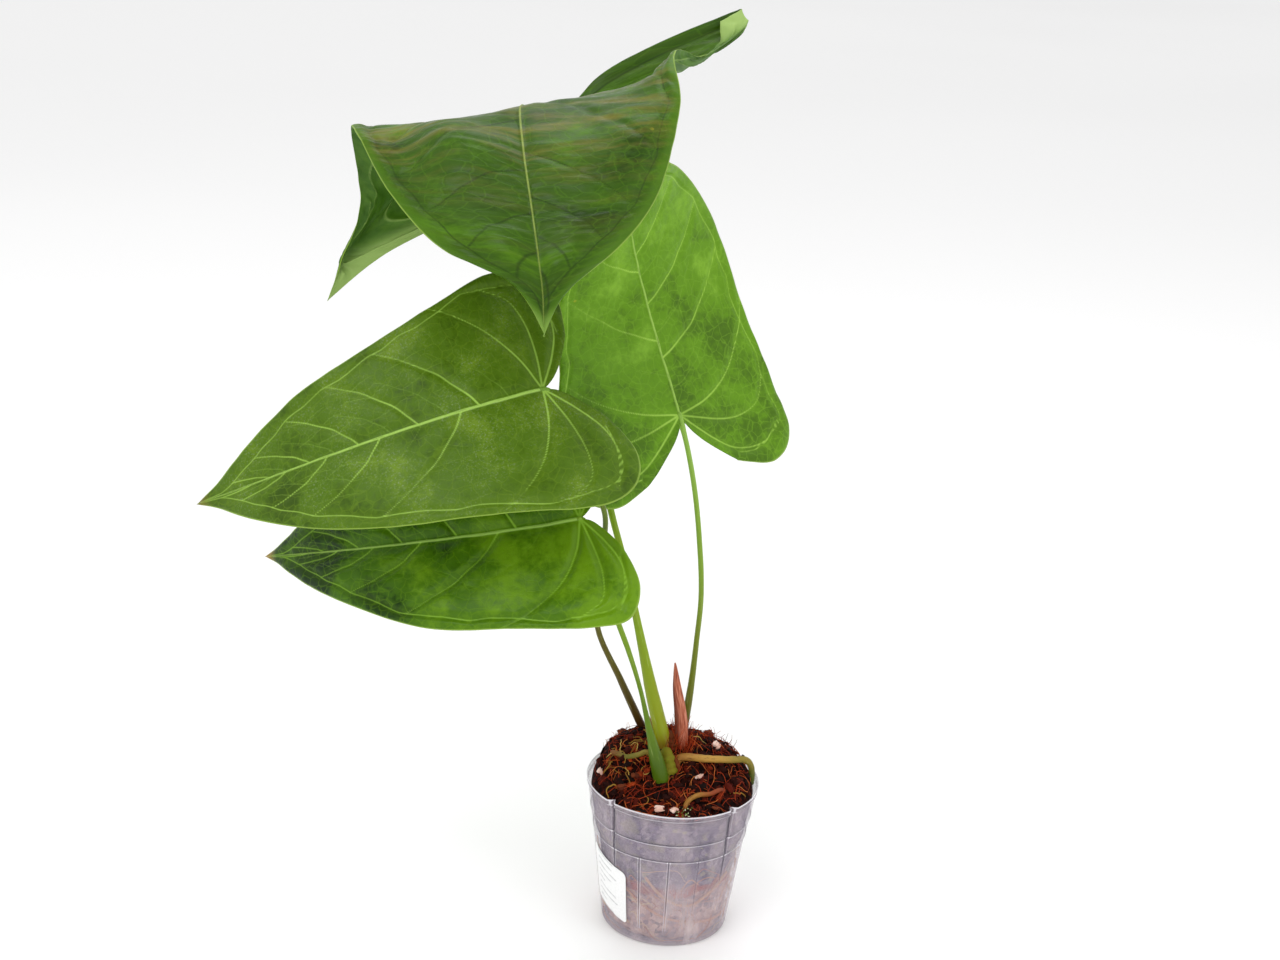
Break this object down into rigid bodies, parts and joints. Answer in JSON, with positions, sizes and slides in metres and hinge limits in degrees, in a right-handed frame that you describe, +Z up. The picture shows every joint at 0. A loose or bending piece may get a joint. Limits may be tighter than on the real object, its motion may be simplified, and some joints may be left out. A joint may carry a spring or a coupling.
{
  "type": "potted anthurium",
  "caption": "Foliage anthurium with large heart-shaped leaves on long stalks, rooted in a bark mix in a thin translucent nursery pot.",
  "frame": {"origin": "middle of the underside of the pot, on the surface it stands on", "axes": "+Z up, -Y towards the front, where the top leaf's tip hangs, +X to the right seen from the front"},
  "size_m": [0.3985, 0.2481, 0.6307],
  "materials": {
    "leaf_top_skin": "dark olive green with a grey-pink sheen, lightly quilted",
    "leaf_left_skin": "mid green, satin, raised pale veins",
    "leaf_right_skin": "lighter green, satin, raised pale veins",
    "leaf_low_skin": "deep green, satin, sunken veins",
    "stalk_top_skin": "smooth lime to olive skin",
    "stalk_left_skin": "smooth dark olive skin",
    "stalk_right_skin": "smooth olive green skin",
    "stalk_low_skin": "smooth light green skin",
    "wood_chip": "dry, rough chipped wood and bark",
    "pot_root_skin": "matte tan roots",
    "root_skin": "matte tan to brown, finely wrinkled",
    "pot_plastic": "thin translucent lilac-grey soft plastic",
    "label_paper": "smooth white sticker with plain grey bars",
    "bark_and_coir": "loose, rough, dark brown with red-brown fibres",
    "dry_sheath": "dry papery pinkish-brown"
  },
  "bodies": {
    "root": {"leaf_blade_top": "leaf_top_skin", "leaf_blade_left": "leaf_left_skin", "leaf_blade_right": "leaf_right_skin", "leaf_blade_low": "leaf_low_skin", "petiole_top": "stalk_top_skin", "petiole_left": "stalk_left_skin", "petiole_right": "stalk_right_skin", "petiole_low": "stalk_low_skin", "cataphyll_sheath": "dry_sheath", "cataphyll_stub": "dry_sheath", "aerial_root_right": "root_skin", "aerial_root_left": "root_skin", "aerial_root_front": "root_skin", "potting_mix": "bark_and_coir", "bark_chip_1": "wood_chip", "bark_chip_2": "wood_chip", "bark_chip_3": "wood_chip", "bark_chip_4": "wood_chip", "bark_chip_5": "wood_chip", "bark_chip_6": "wood_chip", "bark_chip_7": "wood_chip", "bark_chip_8": "wood_chip", "bark_chip_9": "wood_chip", "bark_chip_10": "wood_chip", "wall_root_1": "pot_root_skin", "wall_root_2": "pot_root_skin", "wall_root_3": "pot_root_skin", "wall_root_4": "pot_root_skin", "nursery_pot": "pot_plastic", "pot_label": "label_paper"}
  },
  "joints": []
}
